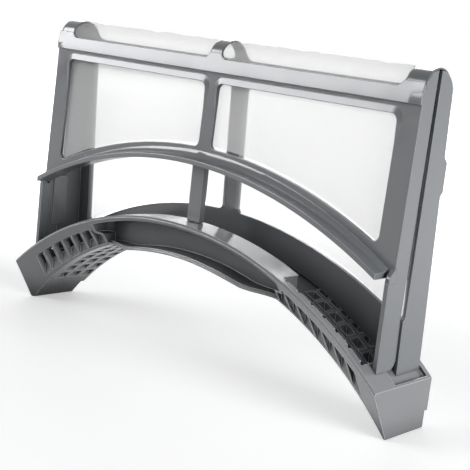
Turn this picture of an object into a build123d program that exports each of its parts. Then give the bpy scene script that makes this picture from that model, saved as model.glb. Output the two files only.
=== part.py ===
from build123d import *
from math import atan, degrees, sqrt
import os

# Tumble dryer lint filter. An arched grip body with a grille basket at each end carries a mesh pouch.
# The rear screen stands in the body, and the front screen hangs from three straps and swings out.
# X runs across the filter, Y from the front rim to the back and Z up. The two feet stand on Z = 0.

# Grip body
body_width = 330.0
body_depth = 57.0
rim_crown = 92.0
rim_end = 30.7
rim_chamfer = 1.4
under_crown = 74.1
foot_length = 2.4
front_slope = 0.8
floor_wall = 4.3
front_wall = 3.8
rail_depth = 6.5
rear_wall = 2.0
block_length = 14.4
tray_corner = 4.0
tray_reach = 63.0
foot_corner = 1.0
step_height = 10.6
step_depth = 2.7

# Grilles in the baskets
grille_pitch = 10.0
grille_inset = 20.6
slot_count = 7
slot_width = 8.4
slot_inset = 18.4
slot_top_band = 6.8
slot_sill = 1.6
scoop_drop = 12.0
scoop_end_drop = 19.6
notch_width = 2.4
notch_depth = 1.8
hole_columns = 7
hole_rows = 3
hole_pitch = 9.36
hole_inset = 23.1
hole_width = 6.8
hole_depth = 8.0
hole_row_pitch = 12.0
first_hole_row = 26.6
frame_width = 1.0
frame_height = 1.2

# Finger pocket
basket_length = 79.0
pocket_depth = 19.6
pocket_wall = 1.4
pocket_corner = 5.0
plate_corner = 1.0
pocket_step = 66.4
pocket_step_height = 3.0
pocket_step_width = 5.6
plate_thickness = 2.6
lip_drop = 1.8
lip_depth = 2.0
finger_crown = 68.4
finger_inset = 29.0
finger_thickness = 2.4
finger_front = 5.0
finger_front_end = 14.6
finger_step = 1.1
finger_bow = 1.2
finger_tuck = 0.4

# Sockets for the rear legs
socket_front = 21.2
socket_back = 53.6
socket_wall = 1.4
socket_drop = 2.2

# Screen pouch
screen_wall = 2.2
side_wall = 1.6
front_inset = 8.2
rear_inset = 7.0
front_face_depth = 12.04
front_lean = 0.035
rear_face_depth = 54.6
rear_lean = 0.047
seam_depth = 26.0
seam_lean = 0.023
rear_seam_depth = 29.5
rear_seam_lean = 0.014
seam_kink = 68.0
seam_foot_lean = 0.035
seam_foot_step = 1.9
seam_foot_ramp = 2.0
heel_radius = 6.0
window_top = 181.8
window_corner = 4.0
bevel_width = 5.0
bevel_edge = 0.9
bevel_sink = 0.5
bevel_height = 1.2
bevel_fade = 16.0
bevel_reach = 20.0
band_bottom = 188.2
band_top = 197.0
band_proud = 1.2
band_rib = 1.4
band_flat = 3.0
band_shoulder = 2.4
band_round = 1.9
band_bulge = 0.5
rear_band_round = 1.3
rear_band_bulge = 0.4
arch_depth = 32.2
arch_height = 194.0
arch_radius = 13.4

# Front screen
front_side = 14.2
front_bar_half = 5.3
arc_bar_radius = 328.0
arc_bar_crown = 140.4
lip_radius = 317.3
lip_crown = 130.2
lip_thickness = 3.0
lip_front = 3.8
lip_inset = 5.2
lip_fillet = 6.0
leg_front = 10.8
leg_strip = 2.8
leg_shoulder = 89.5
strut_centre = 0.3
strut_width = 10.4
strut_thickness = 4.5
strut_back = 18.0
tab_front = 22.0
tab_back = 33.8
tab_bottom = 58.0
tab_top = 94.0
tab_thickness = 1.2
tab_corner = 2.0

# Rear screen
rear_side = 14.0
rear_bar_half = 6.9
rail_radius = 282.1
rail_crown = 97.9
bump_centre = 148.0
bump_length = 22.0
bump_depth = 2.6

# Straps
strap_thickness = 1.0
strap_radius = 12.5
strap_gap = 0.4
fold_height = 196.5
side_strap_width = 11.5
centre_strap_width = 10.0
centre_strap = 3.0
strap_flare = 6.0

# Mesh
mesh_thickness = 0.5
mesh_margin = 2.2
fold_drop = 0.2
fold_split = 0.6

# Fits
seat_gap = 0.1
leaf_gap = 0.3
overlap = 1.0

# Derived sizes
half_width = body_width / 2
rim_rise = rim_crown - rim_end
rim_radius = (half_width**2 + rim_rise**2) / (2 * rim_rise)
rim_centre = rim_crown - rim_radius
rim_edge = rim_crown - rim_chamfer
under_half_span = half_width - foot_length
under_radius = (under_half_span**2 + under_crown**2) / (2 * under_crown)
under_centre = under_crown - under_radius
cone_wall = front_wall * sqrt(1 + front_slope**2)
rail_bottom = rim_edge - (rail_depth - cone_wall) / front_slope
tray_half = half_width - block_length
tray_back = body_depth - rear_wall
basket_start = half_width - basket_length
pocket_half_top = basket_start - pocket_wall
pocket_half_low = pocket_half_top - pocket_step_width
finger_half = pocket_half_low - finger_inset
mould_low = rim_crown - tray_reach
front_half_width = half_width - front_inset
rear_half_width = half_width - rear_inset
front_window_half = front_half_width - front_side
rear_window_half = rear_half_width - rear_side
lip_half = front_half_width - lip_inset
above = rim_crown + 10.0
scoop_top = rim_crown - scoop_drop
scoop_end = rim_crown - scoop_end_drop
lip_centre = lip_crown - lip_radius
flange_top = arch_height + arch_radius + overlap
socket_middle = (socket_front + socket_back) / 2
foot_seam = seam_depth + (seam_lean + seam_foot_lean) * seam_kink
rear_foot_seam = rear_seam_depth + rear_seam_lean * seam_kink - seam_foot_step
band_face = front_face_depth + front_lean * band_bottom - band_proud
band_inside = band_face + band_proud + screen_wall + band_rib
lip_face = front_face_depth + front_lean * arc_bar_crown + 0.1
leg_depth = front_face_depth + front_lean * leg_shoulder + screen_wall / 2 - leg_front
strut_depth = strut_back - strut_thickness / 2
rear_band_face = rear_face_depth - rear_lean * band_bottom
rear_band_inside = rear_band_face - screen_wall - band_rib
bump_edge = rear_face_depth - rear_lean * bump_centre
side_strap = front_half_width - side_wall - strap_gap - side_strap_width / 2
above_top = fold_height + strap_radius + overlap
fold_start = fold_split / 2
fold_end = front_half_width - side_wall - strap_gap
bevel_slope = bevel_height / bevel_fade
bevel_taper = degrees(atan((bevel_width - bevel_edge) / (bevel_height + bevel_sink)))
slot_places = [half_width - grille_inset - grille_pitch * n for n in range(slot_count)]
notch_places = [x + grille_pitch / 2 for x in slot_places]

hole_places = [
    (side * (half_width - hole_inset - hole_pitch * column), first_hole_row + hole_row_pitch * row)
    for side in (-1, 1)
    for column in range(hole_columns)
    for row in range(hole_rows)
]
finger_lip = [
    (-pocket_half_low, finger_front_end),
    (-finger_half, finger_front + finger_bow),
    (0, finger_front),
    (finger_half, finger_front + finger_bow),
    (pocket_half_low, finger_front_end),
]

# Planes, with the depth counted from the front rim
front_y = -body_depth / 2
front_plane = Plane.XZ.offset(-front_y)
side_plane = Plane(origin=(0, front_y, 0), x_dir=(0, 1, 0), z_dir=(1, 0, 0))
plan_plane = Plane(origin=(0, front_y, 0), x_dir=(1, 0, 0), z_dir=(0, 0, 1))
front_face = Plane(
    origin=(0, front_y + front_face_depth, 0), x_dir=(1, 0, 0), z_dir=(0, -1, front_lean)
)
rear_face = Plane(
    origin=(0, front_y + rear_face_depth, 0), x_dir=(1, 0, 0), z_dir=(0, -1, -rear_lean)
)
border_plane = Plane(
    origin=front_face.from_local_coords((0, 0, -bevel_slope * window_top - bevel_sink)),
    x_dir=(1, 0, 0),
    z_dir=(0, -1, front_lean - bevel_slope),
)
rim_axis = Axis((0, 0, rim_centre), (0, 1, 0))
lip_axis = Axis((0, 0, lip_centre), (0, 1, 0))


def arch_z(radius, crown, x):
    """Height of an arch at a distance x from its middle."""
    return crown - radius + sqrt(radius**2 - x**2)


def arch_slope(radius, x):
    """Slope of an arch at a distance x from its middle."""
    return -x / sqrt(radius**2 - x**2)


def cone_depth(z):
    """Depth of the sloping front face at a height over the middle."""
    return front_slope * (rim_edge - z)


def finger_curve(lift, skin=0.0):
    """Face above the finger plate's lower curve, raised by a lift, with the pocket's stepped ends."""
    low, high = pocket_half_low + skin, pocket_half_top + overlap + skin
    step_z, step_end_z = pocket_step - skin, pocket_step + pocket_step_height - skin
    flat_z = arch_z(under_radius, finger_crown, finger_half) + lift
    end_z = arch_z(under_radius, under_crown, low) + finger_tuck + lift
    flat_slope = arch_slope(under_radius, finger_half)
    end_slope = arch_slope(under_radius, low)
    with BuildSketch() as region:
        with BuildLine():
            ThreePointArc((-finger_half, flat_z), (0, finger_crown + lift), (finger_half, flat_z))
            for side in (-1, 1):
                Spline(
                    (side * finger_half, flat_z),
                    (side * low, end_z),
                    tangents=[(side, flat_slope), (side, end_slope)],
                )
                Line((side * low, end_z), (side * low, step_z))
                Spline(
                    (side * low, step_z), (side * high, step_end_z), tangents=[(0, 1), (0, 1)]
                )
                Polyline((side * high, step_end_z), (side * high, above), (0, above))
        make_face()
    return region.sketch


def windows(half, bar, radius, crown, grow=0.0):
    """Both windows of a screen, grown by a margin."""
    width = half - bar + 2 * grow
    with BuildSketch() as panes:
        with Locations(*[(side * (half + bar) / 2, window_top / 2) for side in (-1, 1)]):
            Rectangle(width, window_top + 2 * grow)
        with Locations((0, crown - radius)):
            Circle(radius - grow, mode=Mode.SUBTRACT)
        fillet(panes.vertices(), window_corner + grow)
    return panes.sketch


def edge(depth, lean, *heights):
    """Points on a leaning edge at some heights."""
    return [(depth + lean * z, z) for z in heights]


def flange_side(front, back):
    """Side view of a screen flange between two edges, with its rounded top."""
    with BuildSketch() as side:
        with Locations((arch_depth, arch_height / 2)):
            Rectangle(2 * arch_depth, arch_height)
        with Locations((arch_depth, arch_height)):
            Circle(arch_radius)
        with BuildLine():
            Polyline(*front, *reversed(back), close=True)
        make_face(mode=Mode.INTERSECT)
    return side.sketch


def fold_ring(radius, thickness):
    """Side view of a band folded over the top, standing on both top bands."""
    with BuildSketch() as ring:
        with Locations((arch_depth, fold_height)):
            Circle(radius)
            Circle(radius - thickness, mode=Mode.SUBTRACT)
        with Locations((arch_depth, band_top + radius)):
            Rectangle(2 * radius, 2 * radius, mode=Mode.INTERSECT)
    return ring.sketch


def across(x):
    """Side plane at a distance x from the middle."""
    return side_plane.offset(x)


def drum(radius, centre):
    """Long drum along the depth, used to cut parts to an arch."""
    with BuildPart() as cutter:
        with BuildSketch(front_plane.offset(above)):
            with Locations((0, centre)):
                Circle(radius)
        extrude(amount=-3 * above)
    return cutter.part


def rim_drum(growth):
    """Drum under the rim arch, grown by a clearance."""
    return drum(rim_radius + growth, rim_centre)


def save(builder, name):
    """Label a part and write its file."""
    builder.part.label = name
    export_step(builder.part, f"parts/{name}.step")


os.makedirs("parts", exist_ok=True)

# Inside of the tray, cut parallel to the arch and the sloping front face
with BuildPart() as tray:
    with BuildSketch(side_plane):
        with BuildLine():
            Polyline(
                (rail_depth, above),
                (rail_depth, rail_bottom),
                (cone_depth(mould_low) + cone_wall, mould_low),
                (tray_back, mould_low),
                (tray_back, above),
                close=True,
            )
        make_face()
    revolve(axis=rim_axis)
    with BuildSketch(front_plane):
        with Locations((0, above / 2)):
            Rectangle(2 * tray_half, above)
        with Locations((0, under_centre)):
            Circle(under_radius + floor_wall, mode=Mode.SUBTRACT)
    extrude(amount=-body_depth, mode=Mode.INTERSECT)
    with BuildSketch(plan_plane) as tray_plan:
        with Locations((0, (rail_depth + tray_back) / 2)):
            Rectangle(2 * tray_half, tray_back - rail_depth)
        fillet(tray_plan.vertices().group_by(Axis.Y)[0], tray_corner)
        RectangleRounded(
            2 * basket_start,
            2 * (pocket_depth + pocket_wall),
            plate_corner,
            mode=Mode.SUBTRACT,
        )
    extrude(amount=above, mode=Mode.INTERSECT)

# Space inside the finger pocket
with BuildPart() as pocket:
    with BuildSketch(front_plane):
        add(finger_curve(finger_thickness))
        with Locations((0, rim_centre)):
            Circle(rim_radius - plate_thickness, mode=Mode.INTERSECT)
    extrude(amount=-pocket_depth)
    with BuildSketch(plan_plane):
        RectangleRounded(2 * pocket_half_top, 2 * pocket_depth, pocket_corner)
    extrude(amount=above, mode=Mode.INTERSECT)
    with BuildSketch(side_plane):
        with Locations((lip_depth / 2, rim_crown)):
            Rectangle(lip_depth, 2 * (plate_thickness + lip_drop))
    revolve(axis=rim_axis, mode=Mode.SUBTRACT)

# Finger plate hanging under the pocket, with a stepped front lip
with BuildPart() as finger_plate:
    with BuildSketch(front_plane):
        add(finger_curve(0))
        with Locations((0, under_centre)):
            Circle(under_radius + floor_wall / 2, mode=Mode.INTERSECT)
    extrude(amount=-(pocket_depth + pocket_wall))
    with BuildSketch(plan_plane):
        with BuildLine():
            Spline(*finger_lip)
            Polyline(
                finger_lip[0],
                (-pocket_half_low, body_depth),
                (pocket_half_low, body_depth),
                finger_lip[-1],
            )
        make_face()
    extrude(amount=above, mode=Mode.INTERSECT)
with BuildPart() as lip_groove:
    with BuildSketch(plan_plane):
        with BuildLine():
            Spline(*[(x, depth + finger_step) for x, depth in finger_lip])
            Polyline(
                (finger_lip[0][0], finger_lip[0][1] + finger_step),
                (-pocket_half_low, 0),
                (pocket_half_low, 0),
                (finger_lip[-1][0], finger_lip[-1][1] + finger_step),
            )
        make_face()
    extrude(amount=above)
    with BuildSketch(front_plane):
        add(finger_curve(finger_thickness / 2))
        add(finger_curve(2 * finger_thickness), mode=Mode.SUBTRACT)
    extrude(amount=-body_depth, mode=Mode.INTERSECT)

# Slots through the sloping front face of the baskets, scooped at their lower end
with BuildPart() as slots:
    with BuildSketch(front_plane):
        with Locations(*[(side * x, above / 2) for side in (-1, 1) for x in slot_places]):
            Rectangle(slot_width, above)
        Rectangle(2 * (half_width - slot_inset), 2 * above, mode=Mode.INTERSECT)
        add(finger_curve(-slot_width, pocket_wall), mode=Mode.SUBTRACT)
        with Locations((0, rim_centre)):
            Circle(rim_radius - slot_top_band, mode=Mode.INTERSECT)
        with Locations((0, under_centre)):
            Circle(under_radius + slot_sill, mode=Mode.SUBTRACT)
    extrude(amount=-body_depth)
    with BuildSketch(side_plane):
        with BuildLine():
            Polyline(
                (cone_depth(scoop_top) + cone_wall, scoop_top),
                (cone_depth(scoop_end), scoop_end),
                (cone_depth(scoop_end) - slot_top_band, scoop_end),
                (cone_depth(above) - slot_top_band, above),
                (cone_depth(above) + cone_wall, above),
                close=True,
            )
        make_face()
    revolve(axis=rim_axis, mode=Mode.INTERSECT)

# Raised frames around the holes in the basket floors
with BuildPart() as hole_frames:
    with BuildSketch(plan_plane):
        with Locations(*hole_places):
            Rectangle(hole_width + 2 * frame_width, hole_depth + 2 * frame_width)
        with Locations((0, body_depth / 2)):
            Rectangle(2 * tray_half, body_depth, mode=Mode.INTERSECT)
    extrude(amount=above)
    with BuildSketch(front_plane):
        with Locations((0, under_centre)):
            Circle(under_radius + floor_wall + frame_height)
            Circle(under_radius + floor_wall / 2, mode=Mode.SUBTRACT)
    extrude(amount=-body_depth, mode=Mode.INTERSECT)

# Outlines of the front screen
front_windows = windows(front_window_half, front_bar_half, arc_bar_radius, arc_bar_crown)
with BuildSketch() as arch_opening:
    Rectangle(2 * (front_half_width - leg_strip), 2 * band_bottom)
    with Locations((0, lip_centre)):
        Circle(lip_radius, mode=Mode.INTERSECT)
front_arch = arch_opening.sketch
front_flange = flange_side(
    edge(front_face_depth, front_lean, 0, flange_top),
    [(foot_seam, 0), *edge(seam_depth, seam_lean, seam_kink, flange_top)],
)
heel_height = arch_z(rim_radius + leaf_gap, rim_crown + leaf_gap, front_half_width) + heel_radius
heel_depth = foot_seam - seam_foot_lean * heel_height - heel_radius
with BuildSketch() as heel_outline:
    with Locations((heel_depth, heel_height)):
        Rectangle(2 * heel_radius, 2 * heel_radius, align=(Align.MIN, Align.MAX))
        Circle(heel_radius, mode=Mode.SUBTRACT)
heel = heel_outline.sketch
with BuildSketch() as tab_outline:
    with Locations(((tab_front + tab_back) / 2, (tab_bottom + tab_top) / 2)):
        RectangleRounded(tab_back - tab_front, tab_top - tab_bottom, tab_corner)
tab = tab_outline.sketch
with BuildSketch() as border_outline:
    add(windows(front_window_half, front_bar_half, arc_bar_radius, arc_bar_crown, bevel_width))
    with Locations((0, window_top)):
        Rectangle(2 * front_half_width, 2 * bevel_reach, mode=Mode.INTERSECT)
border = border_outline.sketch

# Outlines of the rear screen
rear_windows = windows(rear_window_half, rear_bar_half, rail_radius, rail_crown)
rear_flange = flange_side(
    [
        (rear_foot_seam + seam_foot_lean * seam_kink, 0),
        (rear_foot_seam + seam_foot_lean * seam_foot_ramp, seam_kink - seam_foot_ramp),
        *edge(rear_seam_depth, rear_seam_lean, seam_kink, flange_top),
    ],
    edge(rear_face_depth, -rear_lean, 0, flange_top),
)
with BuildSketch() as bump_outline:
    with BuildLine():
        Polyline(
            (bump_edge - screen_wall, bump_centre - bump_length / 2 - bump_depth),
            (bump_edge + bump_depth, bump_centre - bump_length / 2 + bump_depth),
            (bump_edge + bump_depth, bump_centre + bump_length / 2 - bump_depth),
            (bump_edge - screen_wall, bump_centre + bump_length / 2 + bump_depth),
            close=True,
        )
    make_face()
bump = bump_outline.sketch

# Room for the end blocks under the rear screen
with BuildPart() as leg_clearance:
    with BuildSketch(plan_plane):
        Rectangle(2 * body_width, 3 * body_depth)
        Rectangle(2 * (tray_half - leaf_gap), 3 * body_depth, mode=Mode.SUBTRACT)
    extrude(amount=above)
    add(rim_drum(seat_gap - socket_drop), mode=Mode.INTERSECT)

# Handle lip, revolved with the arched bar
with BuildPart() as handle_lip:
    with BuildSketch(side_plane):
        with BuildLine():
            Polyline(
                (lip_face - lip_fillet, lip_crown + lip_thickness),
                (lip_front, lip_crown + lip_thickness),
                (lip_front, lip_crown - overlap),
                (lip_face, lip_crown - overlap),
                (lip_face, lip_crown + lip_thickness + lip_fillet),
            )
            RadiusArc(
                (lip_face, lip_crown + lip_thickness + lip_fillet),
                (lip_face - lip_fillet, lip_crown + lip_thickness),
                lip_fillet,
            )
        make_face()
    revolve(axis=lip_axis)
    with BuildSketch(plan_plane):
        Rectangle(2 * lip_half, 2 * body_depth)
    extrude(amount=2 * above, mode=Mode.INTERSECT)

# Space for the rear legs in the end blocks
with BuildPart() as sockets:
    socket_length = block_length - socket_wall + overlap
    with BuildSketch(plan_plane):
        with Locations(
            *[
                (side * (half_width - socket_wall - socket_length / 2), socket_middle)
                for side in (-1, 1)
            ]
        ):
            Rectangle(socket_length, socket_back - socket_front)
    extrude(amount=above)
    add(rim_drum(-socket_drop), mode=Mode.SUBTRACT)

# Grip body
with BuildPart() as grip_body:
    with BuildSketch(side_plane):
        with BuildLine():
            Polyline(
                (0, rim_edge),
                (rim_chamfer, rim_crown),
                (body_depth, rim_crown),
                (body_depth, mould_low),
                (cone_depth(mould_low), mould_low),
                close=True,
            )
        make_face()
    revolve(axis=rim_axis)
    with BuildSketch(front_plane) as outline:
        with Locations((0, above / 2)):
            Rectangle(body_width, above)
        fillet(outline.vertices().group_by(Axis.Y)[0], foot_corner)
        with Locations((0, under_centre)):
            Circle(under_radius, mode=Mode.SUBTRACT)
    extrude(amount=-body_depth, mode=Mode.INTERSECT)
    # Step in the lower back of the feet
    with BuildSketch(side_plane):
        with Locations((body_depth, 0)):
            Rectangle(2 * step_depth, 2 * step_height)
    extrude(amount=half_width, both=True, mode=Mode.SUBTRACT)
    # Tray, finger plate, pocket and grilles
    add(tray.part, mode=Mode.SUBTRACT)
    add(finger_plate.part)
    add(pocket.part, mode=Mode.SUBTRACT)
    add(lip_groove.part, mode=Mode.SUBTRACT)
    add(slots.part, mode=Mode.SUBTRACT)
    add(hole_frames.part)
    with BuildSketch(plan_plane):
        with Locations(*hole_places):
            Rectangle(hole_width, hole_depth)
    extrude(amount=above, mode=Mode.SUBTRACT)
    # Notches in the back edge of the rail, over the bars between the slots
    for side in (-1, 1):
        for x in notch_places:
            bottom = arch_z(rail_bottom - rim_centre, rail_bottom, x)
            with BuildSketch(plan_plane.offset(bottom)):
                with Locations((side * x, rail_depth)):
                    Rectangle(notch_width, 2 * notch_depth)
            extrude(amount=above, mode=Mode.SUBTRACT)
    add(sockets.part, mode=Mode.SUBTRACT)
save(grip_body, "grip_body")

# Front screen
with BuildPart() as front_frame:
    # Plate with two windows, an arched lower edge and a leg at each end
    with BuildSketch(front_face):
        with Locations((0, band_bottom / 2)):
            Rectangle(2 * front_half_width, band_bottom)
    extrude(amount=-screen_wall)
    # Sloping border around the upper half of the windows
    with BuildSketch(border_plane):
        add(border)
    extrude(amount=bevel_height + bevel_sink, taper=bevel_taper)
    with BuildSketch(front_face.offset(2 * bevel_height)):
        add(front_windows)
    extrude(amount=-body_depth / 2, mode=Mode.SUBTRACT)
    # Rounded top band
    with BuildSketch(side_plane):
        with BuildLine():
            ThreePointArc(
                (band_face, band_bottom + band_flat),
                (band_face + band_bulge, band_top - band_shoulder),
                (band_face + band_round, band_top),
            )
            Polyline(
                (band_face + band_round, band_top),
                (band_inside, band_top),
                (band_inside, band_bottom),
                (band_face, band_bottom),
                (band_face, band_bottom + band_flat),
            )
        make_face()
    extrude(amount=front_half_width, both=True)
    # Handle lip along the arched bar, over the arched opening
    add(handle_lip.part)
    with BuildSketch(front_plane):
        add(front_arch)
    extrude(amount=-body_depth, mode=Mode.SUBTRACT)
    # Flanges and forward legs
    for side in (-1, 1):
        with BuildSketch(across(side * (front_half_width - side_wall / 2))):
            add(front_flange)
            add(heel, mode=Mode.SUBTRACT)
        extrude(amount=side_wall / 2, both=True)
        with BuildSketch(across(side * (front_half_width - leg_strip / 2))):
            with Locations((leg_front + leg_depth / 2, leg_shoulder / 2)):
                Rectangle(leg_depth, leg_shoulder)
        extrude(amount=leg_strip / 2, both=True)
    # Tab that covers the seam inside the left end
    with BuildSketch(across(side_wall - front_half_width)):
        add(tab)
    extrude(amount=tab_thickness)
    # Strut from the arched bar down to the rim
    with BuildSketch(plan_plane.offset(rim_crown)):
        with Locations((strut_centre, strut_depth)):
            Rectangle(strut_width, strut_thickness)
    extrude(amount=lip_crown + lip_thickness - rim_crown)
    add(rim_drum(leaf_gap), mode=Mode.SUBTRACT)
save(front_frame, "front_frame")

# Rear screen
with BuildPart() as rear_frame:
    # Plate with two windows
    with BuildSketch(rear_face):
        with Locations((0, band_top / 2)):
            Rectangle(2 * rear_half_width, band_top)
        add(rear_windows, mode=Mode.SUBTRACT)
    extrude(amount=screen_wall)
    # Rounded top band
    with BuildSketch(side_plane):
        with BuildLine():
            ThreePointArc(
                (rear_band_face, band_bottom + band_flat),
                (rear_band_face - rear_band_bulge, band_top - band_shoulder),
                (rear_band_face - rear_band_round, band_top),
            )
            Polyline(
                (rear_band_face - rear_band_round, band_top),
                (rear_band_inside, band_top),
                (rear_band_inside, band_bottom),
                (rear_band_face, band_bottom),
                (rear_band_face, band_bottom + band_flat),
            )
        make_face()
    extrude(amount=rear_half_width, both=True)
    # Flanges with a guide bump on their back edge
    for side in (-1, 1):
        with BuildSketch(across(side * (rear_half_width - side_wall / 2))):
            add(rear_flange)
            add(bump)
        extrude(amount=side_wall / 2, both=True)
    # Lower edge over the basket floor, and the legs in their sockets
    add(drum(under_radius + floor_wall + frame_height + seat_gap, under_centre), mode=Mode.SUBTRACT)
    add(leg_clearance.part, mode=Mode.SUBTRACT)
save(rear_frame, "rear_frame")

# Straps that join the two screens over the top
strap_places = {
    "left": (-side_strap, side_strap_width, (1,)),
    "centre": (centre_strap, centre_strap_width, (-1, 1)),
    "right": (side_strap, side_strap_width, (-1,)),
}
for name, (x, width, flared) in strap_places.items():
    with BuildPart() as strap:
        with BuildSketch(front_plane):
            with Locations((x, above_top / 2)):
                Rectangle(width, above_top)
            for side in flared:
                with Locations((x + side * (width + strap_flare) / 2, band_top + strap_flare / 2)):
                    Rectangle(strap_flare, strap_flare)
                with Locations((x + side * (width / 2 + strap_flare), band_top + strap_flare)):
                    Circle(strap_flare, mode=Mode.SUBTRACT)
        extrude(amount=-body_depth)
        with BuildSketch(side_plane):
            add(fold_ring(strap_radius, strap_thickness))
        extrude(amount=half_width, both=True, mode=Mode.INTERSECT)
    save(strap, f"hinge_strap_{name}")

# Mesh panes behind the windows, and the mesh folded over the top under the straps
pane_sides = {"left": -1, "right": 1}
front_panes = windows(
    front_window_half, front_bar_half, arc_bar_radius, arc_bar_crown, mesh_margin
)
rear_panes = windows(rear_window_half, rear_bar_half, rail_radius, rail_crown, mesh_margin)
for name, side in pane_sides.items():
    with BuildPart() as front_mesh:
        with BuildSketch(front_face.offset(-screen_wall)):
            add(front_panes)
            with Locations((side * half_width, band_bottom / 2)):
                Rectangle(body_width, band_bottom, mode=Mode.INTERSECT)
        extrude(amount=-mesh_thickness)
    save(front_mesh, f"front_mesh_{name}")
    with BuildPart() as rear_mesh:
        with BuildSketch(rear_face.offset(screen_wall)):
            add(rear_panes)
            with Locations((side * half_width, band_bottom / 2)):
                Rectangle(body_width, band_bottom, mode=Mode.INTERSECT)
        extrude(amount=mesh_thickness)
    save(rear_mesh, f"rear_mesh_{name}")
    with BuildPart() as fold_mesh:
        with BuildSketch(across(side * (fold_start + fold_end) / 2)):
            add(fold_ring(strap_radius - strap_thickness - fold_drop, mesh_thickness))
        extrude(amount=(fold_end - fold_start) / 2, both=True)
    save(fold_mesh, f"fold_mesh_{name}")
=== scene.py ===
import math

import bmesh
import bpy
from mathutils import Matrix, Vector


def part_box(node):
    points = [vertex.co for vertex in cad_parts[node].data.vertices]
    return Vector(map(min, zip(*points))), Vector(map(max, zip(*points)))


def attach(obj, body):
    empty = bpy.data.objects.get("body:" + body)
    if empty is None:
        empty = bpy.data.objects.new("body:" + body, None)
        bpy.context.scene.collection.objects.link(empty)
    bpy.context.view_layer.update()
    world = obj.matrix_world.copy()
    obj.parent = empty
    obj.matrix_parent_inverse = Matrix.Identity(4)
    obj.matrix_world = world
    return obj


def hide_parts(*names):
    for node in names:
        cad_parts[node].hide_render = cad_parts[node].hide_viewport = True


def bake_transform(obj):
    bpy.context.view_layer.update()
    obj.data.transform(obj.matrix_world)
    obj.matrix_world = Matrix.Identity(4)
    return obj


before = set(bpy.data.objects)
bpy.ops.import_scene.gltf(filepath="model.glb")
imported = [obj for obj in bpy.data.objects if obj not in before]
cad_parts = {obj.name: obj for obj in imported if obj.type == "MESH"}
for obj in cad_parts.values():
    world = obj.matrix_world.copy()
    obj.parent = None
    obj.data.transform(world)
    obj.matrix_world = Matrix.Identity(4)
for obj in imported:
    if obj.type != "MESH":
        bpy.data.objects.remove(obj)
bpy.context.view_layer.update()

MM = 0.001

# Camera, solved from the straight edges and arches of the filter in the photograph
CAMERA_PLACE = Vector((481.66, -510.47, 223.11)) * MM
CAMERA_AZIMUTH = math.radians(41.849)
CAMERA_ELEVATION = math.radians(11.183)
CAMERA_ROLL = math.radians(6.388)
CAMERA_CLIP_START = 0.01

# Image width and focal length in pixels, and the sensor in millimetres
IMAGE_WIDTH = 470
FOCAL_LENGTH = 1091.85
SENSOR_WIDTH = 36.0

# Light of the room on matt faces, level and from above
WHITE = (1.0, 1.0, 1.0)
COOL_WHITE = (0.97, 0.98, 1.0)
AMBIENT = 0.52
AMBIENT_ABOVE = 0.25
ABOVE_SPAN = (0.0, 0.9)

# Dim front of the room that gloss reflects, and the depth directions where it turns white
ROOM_FRONT = 0.45
ROOM_SPAN = (-0.35, 0.25)

# Lamps: place and size in metres, and the height on the filter's middle that they point at
FRONT_LAMP = {"place": (-2.20, -1.88, 1.20), "size": (2.1, 1.7), "aim": 0.15}
TOP_LAMP = {"place": (-0.80, 1.12, 1.80), "size": (1.0, 1.3), "aim": 0.15}
SIDE_LAMP = {"place": (2.9, -0.1, 0.66), "size": (1.6, 1.4), "aim": 0.10}
BACK_LAMP = {"place": (-1.86, 2.16, 1.05), "size": (2.2, 1.3), "aim": 0.10}
FRONT_COLOUR = (0.97, 0.985, 1.0)

# Floor: its paint, and what it bounces back on the filter
FLOOR_HALF = 4.0
FLOOR_SHADE = 0.84
FLOOR_BOUNCE = 0.42

# Floor: how far it is lifted to the white of the background, near the filter and far away
FLOOR_LIFT = (0.34, 1.0)
FLOOR_LIFT_SPAN = (0.22, 0.60)

# Plastic edges: their round, and the cosines of its turn between which they are rubbed pale and
# painted lighter as a highlight
EDGE_ROUND = 0.8 * MM
EDGE_SAMPLES = 6
RUBBED_AND_HIGHLIT_SPAN = (0.985, 0.86)

# Plastic corners: lint dust and painted shade darken them, and dust dulls them, where little of the
# surroundings is open
NOOK_REACH = 28 * MM
NOOK_SAMPLES = 6
NOOK_SPAN = (0.26, 0.75)
NOOK_SHADE = 0.25
MATT_SPAN = (NOOK_SHADE, 0.9)
MATT_ROUGHNESS = 0.4
DUSTY_GLOSS, CLEAN_GLOSS = 0.05, 0.5

# Plastic surface: flow marks, changes of gloss, and fine grain
FLOW_SCALE, FLOW_DETAIL, FLOW_SHARE = 24.0, 4.0, 0.06
SHEEN_SCALE, SHEEN_DETAIL, SHEEN_SPAN = 60.0, 6.0, (0.3, 0.7)
SHEEN_LESS, SHEEN_MORE = 0.04, 0.06
GRAIN_SCALE, GRAIN_DETAIL, GRAIN_STRENGTH, GRAIN_DEPTH = 1800.0, 2.0, 0.2, 0.012 * MM

# Woven mesh: how much clearer than its mean it is between threads, and how much denser on them
WEAVE_SCALE = 1250.0
THREAD_SPAN = (0.3, 1.0)
CLEARER, DENSER = 0.10, 0.08
WEAVE_STRENGTH, WEAVE_DEPTH = 0.3, 0.08 * MM

# Screens: half their width, the top of their bands, and the fold over it
FRAME_HALF = 156.8 * MM
BAND_TOP = 197.0 * MM
FOLD_CENTRE = Vector((0.0, 3.7, 196.5)) * MM

# Straps: left and right edge of each, and how far its feet flare on the left and right
STRAP_RADIUS = 12.5 * MM
STRAP_THICKNESS = 1.0 * MM
STRAP_OVERHANG = 0.2 * MM
STRAP_COLUMNS, STRAP_ROWS = 12, 40
FLARE = 6.0 * MM
STRAPS = {
    "left": (-FRAME_HALF - STRAP_OVERHANG, -143.3 * MM, 0.0, FLARE),
    "centre": (-6.2 * MM, 3.8 * MM, 2.5 * MM, FLARE),
    "right": (143.3 * MM, FRAME_HALF + STRAP_OVERHANG, FLARE, 0.0),
}

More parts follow.
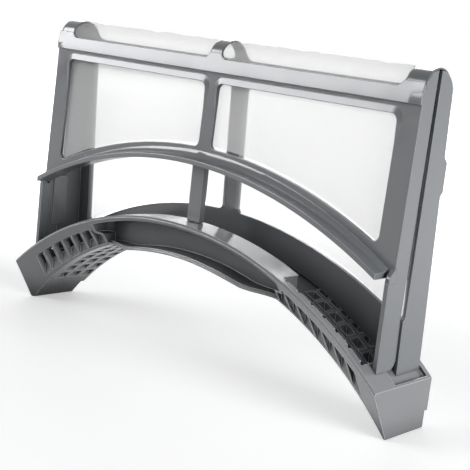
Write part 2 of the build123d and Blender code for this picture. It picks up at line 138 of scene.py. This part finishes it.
# Folded mesh: it touches the straps, tucks under the end ones and nearly meets in the middle
FOLD_RAISE = 0.3 * MM
FOLD_TUCK = 10 * MM
FOLD_GAP = 0.6 * MM
FOLD_RIPPLE, FOLD_RIPPLE_LENGTH, FOLD_RIPPLES_ROUND = 1.6 * MM, 16 * MM, 1.5
FOLD_COLUMNS, FOLD_ROWS = 150, 30
FOLD_SEED = 3

# Face of the front screen's top band: its depth, lower edge, lean and curve, fading at the ends
BAND_FACE = -10.9842 * MM
BAND_FOOT = 188.3 * MM
BAND_PROUD = 0.75 * MM
BAND_LEAN, BAND_CURVE = 0.10, 10.5
BAND_END_FADE = 8 * MM
BAND_INSET = 0.5 * MM
BAND_STEP = 0.5 * MM
BAND_ROWS = 14
BAND_CREASE = 50

# Where that face sweeps up to carry a strap, and how far its rolled top edge tucks in there
STRAP_FOOT_RISE = 3.6 * MM
STRAP_FOOT_FULL = 1.5 * MM
STRAP_CLEARANCE = 0.15 * MM
TUCKED_SHARE = 0.25

# Rolled top edge: how far back and how far up each row lies, in millimetres
ROLLED_EDGE = ((0.3, 0.10), (0.8, 0.16), (2.2, 0.10))

# Shoulders above the front legs: depth and height along their outline, in millimetres
SHOULDER_OUTLINE = (
    (-17.6, 89.2), (-17.6, 91.0), (-17.2, 92.6), (-16.2, 94.2), (-14.8, 95.8),
    (-13.2, 97.4), (-12.0, 98.2), (-11.0, 98.2), (-11.0, 89.2),
)  # fmt: skip
SHOULDER_WIDTH = 2.8 * MM
SHOULDER_PROUD = 0.05 * MM
SHOULDER_CREASE = 40

# Windows: body, frame, radius of the arched edge, and the way the screen leans and cloth bulges
WINDOWS = {
    "front": ("front_screen", "front_frame", 328.0 * MM, 1),
    "rear": ("root", "rear_frame", 282.1 * MM, -1),
}
PANE_MARGIN = 2.2 * MM
CLOTH_BULGE = 0.9 * MM
CLOTH_COLUMNS, CLOTH_ROWS = 64, 40


# Small tools for objects and node trees


def add_object(name, data):
    """Object at the origin, linked to the scene."""
    item = bpy.data.objects.new(name, data)
    bpy.context.scene.collection.objects.link(item)
    return item


def feed(tree, source, target):
    """Link a socket to the target, or set a plain number on it."""
    if isinstance(source, (int, float)):
        target.default_value = source
    else:
        tree.links.new(source, target)


def calc(tree, operation, first, second=0.0):
    """Result of one Math node."""
    node = tree.nodes.new("ShaderNodeMath")
    node.operation = operation
    feed(tree, first, node.inputs[0])
    feed(tree, second, node.inputs[1])
    return node.outputs[0]


def ramp(tree, value, span, result=(0.0, 1.0)):
    """Map Range node that takes the value's span to the result."""
    node = tree.nodes.new("ShaderNodeMapRange")
    node.inputs["From Min"].default_value, node.inputs["From Max"].default_value = span
    node.inputs["To Min"].default_value, node.inputs["To Max"].default_value = result
    tree.links.new(value, node.inputs["Value"])
    return node


def mixed(tree, share, first, second):
    """Shader that goes from the first to the second by the share."""
    node = tree.nodes.new("ShaderNodeMixShader")
    feed(tree, share, node.inputs[0])
    tree.links.new(first, node.inputs[1])
    tree.links.new(second, node.inputs[2])
    return node.outputs[0]


def colour_mix(tree, first, second):
    """Colour Mix node between two colours."""
    node = tree.nodes.new("ShaderNodeMix")
    node.data_type = "RGBA"
    node.inputs["A"].default_value = (*first, 1.0)
    node.inputs["B"].default_value = (*second, 1.0)
    return node


def joined(tree, x, y, z=0.0):
    """Vector made of its three parts."""
    node = tree.nodes.new("ShaderNodeCombineXYZ")
    for part, target in zip((x, y, z), node.inputs):
        feed(tree, part, target)
    return node.outputs[0]


# Camera, light and floor


def make_camera():
    """Camera at the photograph's place, tilted by its roll."""
    sin_a, cos_a = math.sin(CAMERA_AZIMUTH), math.cos(CAMERA_AZIMUTH)
    sin_e, cos_e = math.sin(CAMERA_ELEVATION), math.cos(CAMERA_ELEVATION)
    back = Vector((sin_a * cos_e, -cos_a * cos_e, sin_e))
    level = Vector((cos_a, sin_a, 0.0))
    above = back.cross(level)
    right = level * math.cos(CAMERA_ROLL) + above * math.sin(CAMERA_ROLL)
    up = above * math.cos(CAMERA_ROLL) - level * math.sin(CAMERA_ROLL)
    data = bpy.data.cameras.new("camera")
    data.sensor_width = SENSOR_WIDTH
    data.lens = FOCAL_LENGTH / IMAGE_WIDTH * SENSOR_WIDTH
    data.clip_start = CAMERA_CLIP_START
    camera = add_object("camera", data)
    turn = Matrix((right, up, back)).transposed().to_4x4()
    camera.matrix_world = Matrix.Translation(CAMERA_PLACE) @ turn
    bpy.context.scene.camera = camera


def add_lamp(name, stand, watts, colour=WHITE, on_matt=True, in_gloss=True):
    """Soft rectangular lamp that points at the middle of the filter."""
    data = bpy.data.lights.new(name, "AREA")
    data.shape = "RECTANGLE"
    data.size, data.size_y = stand["size"]
    data.energy = watts
    data.color = colour
    lamp = add_object(name, data)
    lamp.location = stand["place"]
    direction = Vector((0.0, 0.0, stand["aim"])) - Vector(stand["place"])
    lamp.rotation_euler = direction.to_track_quat("-Z", "Y").to_euler()
    lamp.visible_camera = False
    lamp.visible_diffuse = on_matt
    lamp.visible_glossy = in_gloss


def make_lamps():
    """Panels that gloss reflects, fills that light matt faces, and softboxes that do both."""
    add_lamp("front_panel", FRONT_LAMP, watts=135, colour=FRONT_COLOUR, on_matt=False)
    add_lamp("front_fill", FRONT_LAMP, watts=60, in_gloss=False)
    add_lamp("top_panel", TOP_LAMP, watts=46, on_matt=False)
    add_lamp("side_softbox", SIDE_LAMP, watts=94)
    add_lamp("back_softbox", BACK_LAMP, watts=26)
    add_lamp("back_fill", BACK_LAMP, watts=30, in_gloss=False)


def make_world():
    """White behind the filter; softer light on matt faces, and a dimmer room in front for gloss."""
    world = bpy.data.worlds.new("studio")
    bpy.context.scene.world = world
    world.use_nodes = True
    tree = world.node_tree
    tree.nodes.clear()

    def background(strength, colour=WHITE):
        node = tree.nodes.new("ShaderNodeBackground")
        node.inputs["Color"].default_value = (*colour, 1.0)
        node.inputs["Strength"].default_value = strength
        return node.outputs[0]

    path = tree.nodes.new("ShaderNodeLightPath")
    place = tree.nodes.new("ShaderNodeTexCoord")
    side = tree.nodes.new("ShaderNodeSeparateXYZ")
    tree.links.new(place.outputs["Generated"], side.inputs[0])
    white = background(1.0)
    behind = ramp(tree, side.outputs["Y"], ROOM_SPAN)
    room = mixed(tree, behind.outputs["Result"], background(ROOM_FRONT), white)
    above = ramp(tree, side.outputs["Z"], ABOVE_SPAN)
    level_light = background(AMBIENT, COOL_WHITE)
    light_above = background(AMBIENT_ABOVE, COOL_WHITE)
    soft = mixed(tree, above.outputs["Result"], level_light, light_above)
    lit = mixed(tree, path.outputs["Is Glossy Ray"], soft, room)
    seen = calc(tree, "MAXIMUM", path.outputs["Is Camera Ray"], path.outputs["Is Transmission Ray"])
    out = tree.nodes.new("ShaderNodeOutputWorld")
    tree.links.new(mixed(tree, seen, lit, white), out.inputs[0])


def floor_paint():
    """Matt white: lifted to the white of the background, and more so away from the filter."""
    material = bpy.data.materials.new("white_floor")
    material.use_nodes = True
    tree = material.node_tree
    tree.nodes.clear()

    def matt(shade):
        node = tree.nodes.new("ShaderNodeBsdfDiffuse")
        node.inputs["Color"].default_value = (shade, shade, shade, 1.0)
        return node.outputs[0]

    path = tree.nodes.new("ShaderNodeLightPath")
    place = tree.nodes.new("ShaderNodeTexCoord")
    away = tree.nodes.new("ShaderNodeVectorMath")
    away.operation = "LENGTH"
    tree.links.new(place.outputs["Object"], away.inputs[0])
    lift_by_place = ramp(tree, away.outputs["Value"], FLOOR_LIFT_SPAN, FLOOR_LIFT)
    lift_by_place.interpolation_type = "SMOOTHSTEP"
    lift = tree.nodes.new("ShaderNodeEmission")
    lift.inputs["Color"].default_value = (*WHITE, 1.0)
    tree.links.new(lift_by_place.outputs["Result"], lift.inputs["Strength"])
    both = tree.nodes.new("ShaderNodeAddShader")
    tree.links.new(matt(FLOOR_SHADE), both.inputs[0])
    tree.links.new(lift.outputs[0], both.inputs[1])
    seen = calc(tree, "MAXIMUM", path.outputs["Is Camera Ray"], path.outputs["Is Glossy Ray"])
    seen = calc(tree, "MAXIMUM", seen, path.outputs["Is Transmission Ray"])
    out = tree.nodes.new("ShaderNodeOutputMaterial")
    tree.links.new(mixed(tree, seen, matt(FLOOR_BOUNCE), both.outputs[0]), out.inputs[0])
    return material


def make_floor():
    """White table top that keeps a faint shadow."""
    mesh = bpy.data.meshes.new("floor")
    signs = ((-1, -1), (1, -1), (1, 1), (-1, 1))
    corners = [(x * FLOOR_HALF, y * FLOOR_HALF, 0) for x, y in signs]
    mesh.from_pydata(corners, [], [(0, 1, 2, 3)])
    mesh.materials.append(floor_paint())
    add_object("floor", mesh)


# Materials


def moulded_plastic(name, colour, roughness, rub_and_highlight=1.0, edge_pale=2.1):
    """Satin moulded plastic: fine grain, flow marks, round edges rubbed pale with a painted
    highlight, and corners darkened by dust and painted shade.
    """
    material = bpy.data.materials.new(name)
    material.use_nodes = True
    tree = material.node_tree
    nodes, links = tree.nodes, tree.links
    shader = nodes["Principled BSDF"]
    place = nodes.new("ShaderNodeTexCoord")

    def noise(scale, detail):
        node = nodes.new("ShaderNodeTexNoise")
        node.inputs["Scale"].default_value = scale
        node.inputs["Detail"].default_value = detail
        links.new(place.outputs["Object"], node.inputs["Vector"])
        return node.outputs["Fac"]

    def shade(share):
        return [part * share for part in colour]

    # Edges catch the light, and are rubbed a little paler and painted lighter as a highlight
    edge_round = nodes.new("ShaderNodeBevel")
    edge_round.samples = EDGE_SAMPLES
    edge_round.inputs["Radius"].default_value = EDGE_ROUND
    face = nodes.new("ShaderNodeNewGeometry")
    turn = nodes.new("ShaderNodeVectorMath")
    turn.operation = "DOT_PRODUCT"
    links.new(edge_round.outputs["Normal"], turn.inputs[0])
    links.new(face.outputs["Normal"], turn.inputs[1])
    rubbed_and_highlit = ramp(tree, turn.outputs["Value"], RUBBED_AND_HIGHLIT_SPAN, (0.0, rub_and_highlight))

    # Painted shade and lint dust darken the corners and recesses
    nook = nodes.new("ShaderNodeAmbientOcclusion")
    nook.samples = NOOK_SAMPLES
    nook.inputs["Distance"].default_value = NOOK_REACH
    dust_and_shade = ramp(tree, nook.outputs["AO"], NOOK_SPAN, (NOOK_SHADE, 1.0))

    # Flow marks vary the grey, under the dust with its painted shade and the rubbed edges with
    # their painted highlight
    tint = colour_mix(tree, shade(1 - FLOW_SHARE), shade(1 + FLOW_SHARE))
    links.new(noise(FLOW_SCALE, FLOW_DETAIL), tint.inputs["Factor"])
    tint_dusted_and_shaded = nodes.new("ShaderNodeVectorMath")
    tint_dusted_and_shaded.operation = "SCALE"
    links.new(tint.outputs["Result"], tint_dusted_and_shaded.inputs[0])
    links.new(dust_and_shade.outputs["Result"], tint_dusted_and_shaded.inputs["Scale"])
    wear_and_highlight = colour_mix(tree, colour, shade(edge_pale))
    links.new(rubbed_and_highlit.outputs["Result"], wear_and_highlight.inputs["Factor"])
    links.new(tint_dusted_and_shaded.outputs["Vector"], wear_and_highlight.inputs["A"])
    links.new(wear_and_highlight.outputs["Result"], shader.inputs["Base Color"])

    # Gloss differs a little from place to place, and the dusty, shaded corners are matt
    sheen_range = (roughness - SHEEN_LESS, roughness + SHEEN_MORE)
    sheen = ramp(tree, noise(SHEEN_SCALE, SHEEN_DETAIL), SHEEN_SPAN, sheen_range)
    matt = ramp(tree, dust_and_shade.outputs["Result"], MATT_SPAN, (MATT_ROUGHNESS, 0.0))
    rough = calc(tree, "ADD", sheen.outputs["Result"], matt.outputs["Result"])
    links.new(rough, shader.inputs["Roughness"])
    gloss = ramp(tree, dust_and_shade.outputs["Result"], MATT_SPAN, (DUSTY_GLOSS, CLEAN_GLOSS))
    links.new(gloss.outputs["Result"], shader.inputs["Specular IOR Level"])

    # Fine grain over the rounded edges
    bump = nodes.new("ShaderNodeBump")
    bump.inputs["Strength"].default_value = GRAIN_STRENGTH
    bump.inputs["Distance"].default_value = GRAIN_DEPTH
    links.new(noise(GRAIN_SCALE, GRAIN_DETAIL), bump.inputs["Height"])
    links.new(edge_round.outputs["Normal"], bump.inputs["Normal"])
    links.new(bump.outputs["Normal"], shader.inputs["Normal"])
    return material


def woven_mesh(name, openness, white, glow_share):
    """Fine white monofilament mesh that lets part of the light through."""
    material = bpy.data.materials.new(name)
    material.use_nodes = True
    tree = material.node_tree
    nodes, links = tree.nodes, tree.links
    nodes.clear()
    weave = nodes.new("ShaderNodeUVMap")
    weave.uv_map = "weave"

    def threads(direction):
        wave = nodes.new("ShaderNodeTexWave")
        wave.wave_type = "BANDS"
        wave.bands_direction = direction
        wave.wave_profile = "SIN"
        wave.inputs["Scale"].default_value = WEAVE_SCALE
        wave.inputs["Distortion"].default_value = 0.0
        links.new(weave.outputs["UV"], wave.inputs["Vector"])
        return wave.outputs["Fac"]

    cross = calc(tree, "MAXIMUM", threads("X"), threads("Y"))
    clear = ramp(tree, cross, THREAD_SPAN, (openness + CLEARER, openness - DENSER))
    bump = nodes.new("ShaderNodeBump")
    bump.inputs["Strength"].default_value = WEAVE_STRENGTH
    bump.inputs["Distance"].default_value = WEAVE_DEPTH
    links.new(cross, bump.inputs["Height"])
    face = nodes.new("ShaderNodeBsdfDiffuse")
    face.inputs["Color"].default_value = (white, white, white, 1.0)
    links.new(bump.outputs["Normal"], face.inputs["Normal"])
    glow = nodes.new("ShaderNodeBsdfTranslucent")
    glow.inputs["Color"].default_value = (white, white, white, 1.0)
    cloth = mixed(tree, glow_share, face.outputs[0], glow.outputs[0])
    gap = nodes.new("ShaderNodeBsdfTransparent")
    out = nodes.new("ShaderNodeOutputMaterial")
    links.new(mixed(tree, clear.outputs["Result"], cloth, gap.outputs[0]), out.inputs[0])
    return material


GRIP_GREY = (0.196, 0.202, 0.210)
SCREEN_GREY = (0.150, 0.157, 0.165)
STRAP_GREY = (0.125, 0.129, 0.134)
# The grip's edges get a paler painted highlight than the others, and the band skin gets no paler
# edge
grip_plastic = moulded_plastic("grip_plastic", GRIP_GREY, roughness=0.14, edge_pale=2.9)
screen_plastic = moulded_plastic("screen_plastic", SCREEN_GREY, roughness=0.20)
strap_plastic = moulded_plastic("strap_plastic", STRAP_GREY, roughness=0.16)
skin_plastic = moulded_plastic("skin_plastic", SCREEN_GREY, roughness=0.20, rub_and_highlight=0.0)
window_mesh = woven_mesh("window_mesh", openness=0.49, white=0.92, glow_share=0.2)
fold_mesh = woven_mesh("fold_mesh", openness=0.54, white=0.98, glow_share=0.6)


def paint_frame():
    """Plastics of the three mouldings."""
    for node, material in (
        ("grip_body", grip_plastic),
        ("rear_frame", screen_plastic),
        ("front_frame", screen_plastic),
    ):
        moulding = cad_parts[node]
        moulding.data.materials.clear()
        moulding.data.materials.append(material)


# Folded bands: straps and mesh that run over the top from screen to screen


def folded_band_tree():
    """Node group for a band bent over the top, with flared feet and ripples."""
    tree = bpy.data.node_groups.new("folded_band", "GeometryNodeTree")
    sizes = {
        "Centre": FOLD_CENTRE.x,
        "Width": 10 * MM,
        "Radius": STRAP_RADIUS,
        "Left Flare": 0.0,
        "Right Flare": 0.0,
        "Ripple": 0.0,
        "Ripple Length": 20 * MM,
    }
    counts = {"Seed": 1, "Across": STRAP_COLUMNS, "Around": STRAP_ROWS}
    for name, value in sizes.items():
        tree.interface.new_socket(name, socket_type="NodeSocketFloat").default_value = value
    for name, value in counts.items():
        tree.interface.new_socket(name, socket_type="NodeSocketInt").default_value = value
    tree.interface.new_socket("Material", socket_type="NodeSocketMaterial")
    tree.interface.new_socket("Mesh", in_out="OUTPUT", socket_type="NodeSocketGeometry")
    nodes, links = tree.nodes, tree.links
    inputs = nodes.new("NodeGroupInput").outputs

    def maths(operation, first, second=0.0):
        return calc(tree, operation, first, second)

    grid = nodes.new("GeometryNodeMeshGrid")
    grid.inputs["Size X"].default_value = 1.0
    grid.inputs["Size Y"].default_value = 1.0
    links.new(inputs["Across"], grid.inputs["Vertices X"])
    links.new(inputs["Around"], grid.inputs["Vertices Y"])
    spot = nodes.new("ShaderNodeSeparateXYZ")
    links.new(nodes.new("GeometryNodeInputPosition").outputs[0], spot.inputs[0])
    across, around = spot.outputs["X"], spot.outputs["Y"]

    # Angle round the fold, from the front foot to the rear foot
    foot_angle = maths("ARCSINE", maths("DIVIDE", BAND_TOP - FOLD_CENTRE.z, inputs["Radius"]))
    sweep = maths("SUBTRACT", math.pi, maths("MULTIPLY", foot_angle, 2.0))
    angle = maths("ADD", maths("MULTIPLY", around, sweep), math.pi / 2)

    # Feet flare out in a quarter circle
    rise = maths("MULTIPLY", maths("SINE", angle), inputs["Radius"])
    height = maths("SUBTRACT", maths("ADD", rise, FOLD_CENTRE.z), BAND_TOP)

    def half_width(size):
        below = maths("MAXIMUM", maths("SUBTRACT", size, height), 0.0)
        inner = maths("SUBTRACT", maths("POWER", size, 2.0), maths("POWER", below, 2.0))
        flare = maths("SUBTRACT", size, maths("SQRT", maths("MAXIMUM", inner, 0.0)))
        return maths("ADD", maths("MULTIPLY", inputs["Width"], 0.5), flare)

    right_side = half_width(inputs["Right Flare"])
    left_side = half_width(inputs["Left Flare"])
    share = maths("ADD", across, 0.5)
    offset = maths("MULTIPLY", share, maths("ADD", right_side, left_side))
    x = maths("ADD", inputs["Centre"], maths("SUBTRACT", offset, left_side))

    # Ripples fade towards both feet
    noise = nodes.new("ShaderNodeTexNoise")
    noise.noise_dimensions = "3D"
    noise.inputs["Scale"].default_value = 1.0
    noise.inputs["Detail"].default_value = 2.0
    along = maths("DIVIDE", x, inputs["Ripple Length"])
    turned = maths("MULTIPLY", around, FOLD_RIPPLES_ROUND)
    where = joined(tree, along, turned, inputs["Seed"])
    links.new(where, noise.inputs["Vector"])
    swing = maths("MULTIPLY", maths("SUBTRACT", noise.outputs["Fac"], 0.5), 2.0)
    fade = maths("COSINE", maths("MULTIPLY", around, math.pi))
    ripple = maths("MULTIPLY", maths("MULTIPLY", swing, fade), inputs["Ripple"])
    reach = maths("ADD", inputs["Radius"], ripple)
    y = maths("SUBTRACT", FOLD_CENTRE.y, maths("MULTIPLY", maths("COSINE", angle), reach))
    z = maths("ADD", FOLD_CENTRE.z, maths("MULTIPLY", maths("SINE", angle), reach))

    # Weave coordinates in metres along and across the band
    keep = nodes.new("GeometryNodeStoreNamedAttribute")
    keep.data_type = "FLOAT2"
    keep.domain = "CORNER"
    keep.inputs["Name"].default_value = "weave"
    links.new(grid.outputs["Mesh"], keep.inputs["Geometry"])
    weave = joined(tree, x, maths("MULTIPLY", angle, inputs["Radius"]))
    links.new(weave, keep.inputs["Value"])
    move = nodes.new("GeometryNodeSetPosition")
    links.new(keep.outputs["Geometry"], move.inputs["Geometry"])
    links.new(joined(tree, x, y, z), move.inputs["Position"])
    smooth = nodes.new("GeometryNodeSetShadeSmooth")
    links.new(move.outputs["Geometry"], smooth.inputs["Geometry"])
    real = nodes.new("GeometryNodeRealizeInstances")
    links.new(smooth.outputs["Geometry"], real.inputs["Geometry"])
    paint = nodes.new("GeometryNodeSetMaterial")
    links.new(real.outputs["Geometry"], paint.inputs["Geometry"])
    links.new(inputs["Material"], paint.inputs["Material"])
    links.new(paint.outputs["Geometry"], nodes.new("NodeGroupOutput").inputs["Mesh"])
    return tree


def band_piece(name, tree, values, thickness=0.0):
    """Plain mesh object made by the node group with the given inputs."""
    blank = add_object(name + "_source", bpy.data.meshes.new(name + "_source"))
    modifier = blank.modifiers.new("shape", "NODES")
    modifier.node_group = tree
    sockets = {item.name: item for item in tree.interface.items_tree if item.in_out == "INPUT"}
    for socket_name, value in values.items():
        modifier[sockets[socket_name].identifier] = value
    if thickness:
        wall = blank.modifiers.new("wall", "SOLIDIFY")
        wall.thickness = thickness
        wall.offset = -1.0
    bpy.context.view_layer.update()
    shown = blank.evaluated_get(bpy.context.evaluated_depsgraph_get())
    mesh = bpy.data.meshes.new_from_object(shown)
    mesh.name = name
    bpy.data.objects.remove(blank)
    return add_object(name, mesh)


def bend_over_hinge(piece):
    """Bake the piece's placement into its mesh."""
    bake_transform(piece)


def make_straps(tree):
    """Three thin straps that join the screens over the top."""
    for side, (start, end, left_flare, right_flare) in STRAPS.items():
        sizes = {
            "Centre": (start + end) / 2,
            "Width": end - start,
            "Left Flare": left_flare,
            "Right Flare": right_flare,
            "Material": strap_plastic,
        }
        strap = band_piece(f"strap_{side}", tree, sizes, thickness=STRAP_THICKNESS)
        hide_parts(f"hinge_strap_{side}")
        bend_over_hinge(strap)


def make_fold(tree):
    """Mesh folded over the top, slightly rippled between the straps."""
    radius = STRAP_RADIUS - STRAP_THICKNESS + FOLD_RAISE
    middle = sum(STRAPS["centre"][:2]) / 2
    spans = {
        "left": (STRAPS["left"][1] - FOLD_TUCK, middle - FOLD_GAP / 2),
        "right": (middle + FOLD_GAP / 2, STRAPS["right"][0] + FOLD_TUCK),
    }
    for number, (side, (start, end)) in enumerate(spans.items()):
        sizes = {
            "Centre": (start + end) / 2,
            "Width": end - start,
            "Radius": radius,
            "Ripple": FOLD_RIPPLE,
            "Ripple Length": FOLD_RIPPLE_LENGTH,
            "Seed": FOLD_SEED + number,
            "Across": FOLD_COLUMNS,
            "Around": FOLD_ROWS,
            "Material": fold_mesh,
        }
        fold = band_piece(f"fold_cloth_{side}", tree, sizes)
        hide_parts(f"fold_mesh_{side}")
        bend_over_hinge(fold)


# Skins of the front screen


def add_skin(name, mesh, crease):
    """Smooth skin on the front screen, sharp only where it turns by the crease angle or more."""
    mesh.shade_smooth()
    mesh.set_sharp_from_angle(angle=math.radians(crease))
    mesh.materials.append(skin_plastic)
    skin = add_object(name, mesh)
    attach(skin, "front_screen")


def foot_rise(x):
    """How far the band rises above its top at x, to carry a strap."""
    rise = 0.0
    for start, end, left_flare, right_flare in STRAPS.values():
        if start <= x <= end:
            return STRAP_FOOT_RISE
        flare, away = (left_flare, start - x) if x < start else (right_flare, x - end)
        if away < flare:
            rise = max(rise, flare - math.sqrt(flare**2 - (flare - away) ** 2))
    return min(rise, STRAP_FOOT_RISE)


def band_depth(x, z):
    """Depth of the leaning face, kept in front of the frame and the strap, level at the ends."""
    share = min((FRAME_HALF - abs(x)) / BAND_END_FADE, 1.0)
    height = z - BAND_FOOT
    lean = BAND_FACE - BAND_PROUD * share + BAND_LEAN * share * height + BAND_CURVE * height**2
    strap = FOLD_CENTRE.y - math.sqrt(STRAP_RADIUS**2 - max(z - FOLD_CENTRE.z, 0.0) ** 2)
    return min(lean, strap - STRAP_CLEARANCE) if z > BAND_TOP else lean


def make_band_face():
    """Smooth skin over the top band, sweeping up into the straps' feet."""
    columns = int(2 * FRAME_HALF / BAND_STEP) + 1
    points, faces = [], []
    for column in range(columns):
        x = -FRAME_HALF + BAND_STEP * column
        rise = foot_rise(x)
        carries = min(rise / STRAP_FOOT_FULL, 1.0)
        top = BAND_TOP + rise
        points.append((x, BAND_FACE + BAND_INSET, BAND_FOOT))
        for row in range(BAND_ROWS + 1):
            z = BAND_FOOT + (top - BAND_FOOT) * row / BAND_ROWS
            points.append((x, band_depth(x, z), z))
        # The top edge rolls back over the frame, or tucks under the strap's face
        for back, up in ROLLED_EDGE:
            back *= 1 - carries + TUCKED_SHARE * carries
            points.append((x, band_depth(x, top) + back * MM, top + up * (1 - carries) * MM))
    rows = len(points) // columns
    for column in range(columns - 1):
        for row in range(rows - 1):
            corner = column * rows + row
            faces.append((corner, corner + rows, corner + rows + 1, corner + 1))
    # Ends close against the flanges
    faces.append(tuple(range(rows)))
    faces.append(tuple(reversed(range((columns - 1) * rows, columns * rows))))
    mesh = bpy.data.meshes.new("front_band_face")
    mesh.from_pydata(points, [], faces)
    add_skin("front_band_face", mesh, BAND_CREASE)


def make_leg_shoulders():
    """Rounded shoulders that lead from the front legs up into the flanges."""
    outer, inner = FRAME_HALF + SHOULDER_PROUD, FRAME_HALF - SHOULDER_WIDTH
    for side, start, end in (("left", -outer, -inner), ("right", inner, outer)):
        near = [(start, y * MM, z * MM) for y, z in SHOULDER_OUTLINE]
        far = [(end, y * MM, z * MM) for y, z in SHOULDER_OUTLINE]
        count = len(SHOULDER_OUTLINE)
        faces = [tuple(range(count)), tuple(reversed(range(count, 2 * count)))]
        for i in range(count):
            j = (i + 1) % count
            faces.append((j, i, i + count, j + count))
        mesh = bpy.data.meshes.new(f"leg_shoulder_{side}")
        mesh.from_pydata(near + far, [], faces)
        form = bmesh.new()
        form.from_mesh(mesh)
        bmesh.ops.recalc_face_normals(form, faces=form.faces)
        form.to_mesh(mesh)
        form.free()
        add_skin(f"leg_shoulder_{side}", mesh, SHOULDER_CREASE)


# Mesh stretched behind the windows


def window_cloth(screen, side):
    """Cloth behind one window: a sheet with an arched lower edge, bulged a little."""
    body, screen_frame, window_radius, way = WINDOWS[screen]
    name, node = f"{screen}_cloth_{side}", f"{screen}_mesh_{side}"
    low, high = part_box(node)
    width = high.x - low.x
    middle_y, middle_z = (low.y + high.y) / 2, (low.z + high.z) / 2
    lean = way * (high.y - low.y) / (high.z - low.z)
    radius = window_radius - PANE_MARGIN
    outer = max(abs(low.x), abs(high.x))
    crown = low.z + radius - math.sqrt(radius**2 - outer**2)
    points, faces = [], []
    for i in range(CLOTH_COLUMNS + 1):
        x = low.x + width * i / CLOTH_COLUMNS
        bottom = crown - radius + math.sqrt(radius**2 - x**2)
        for j in range(CLOTH_ROWS + 1):
            z = bottom + (high.z - bottom) * j / CLOTH_ROWS
            swell = math.sin(math.pi * i / CLOTH_COLUMNS) * math.sin(math.pi * j / CLOTH_ROWS)
            points.append((x, middle_y + lean * (z - middle_z) + way * CLOTH_BULGE * swell, z))
        if i < CLOTH_COLUMNS:
            for j in range(CLOTH_ROWS):
                corner = i * (CLOTH_ROWS + 1) + j
                across = corner + CLOTH_ROWS + 1
                faces.append((corner, across, across + 1, corner + 1))
    mesh = bpy.data.meshes.new(name)
    mesh.from_pydata(points, [], faces)
    layer = mesh.uv_layers.new(name="weave")
    for loop in mesh.loops:
        x, _, z = points[loop.vertex_index]
        layer.data[loop.index].uv = (x, z)
    mesh.shade_smooth()
    mesh.materials.append(window_mesh)
    cloth = add_object(name, mesh)
    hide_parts(node)
    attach(cloth, body)


bpy.context.scene.view_settings.view_transform = "Standard"
make_camera()
make_world()
make_lamps()
make_floor()
paint_frame()
band = folded_band_tree()
make_straps(band)
make_fold(band)
make_band_face()
make_leg_shoulders()
for window_side in ("left", "right"):
    window_cloth("front", window_side)
    window_cloth("rear", window_side)
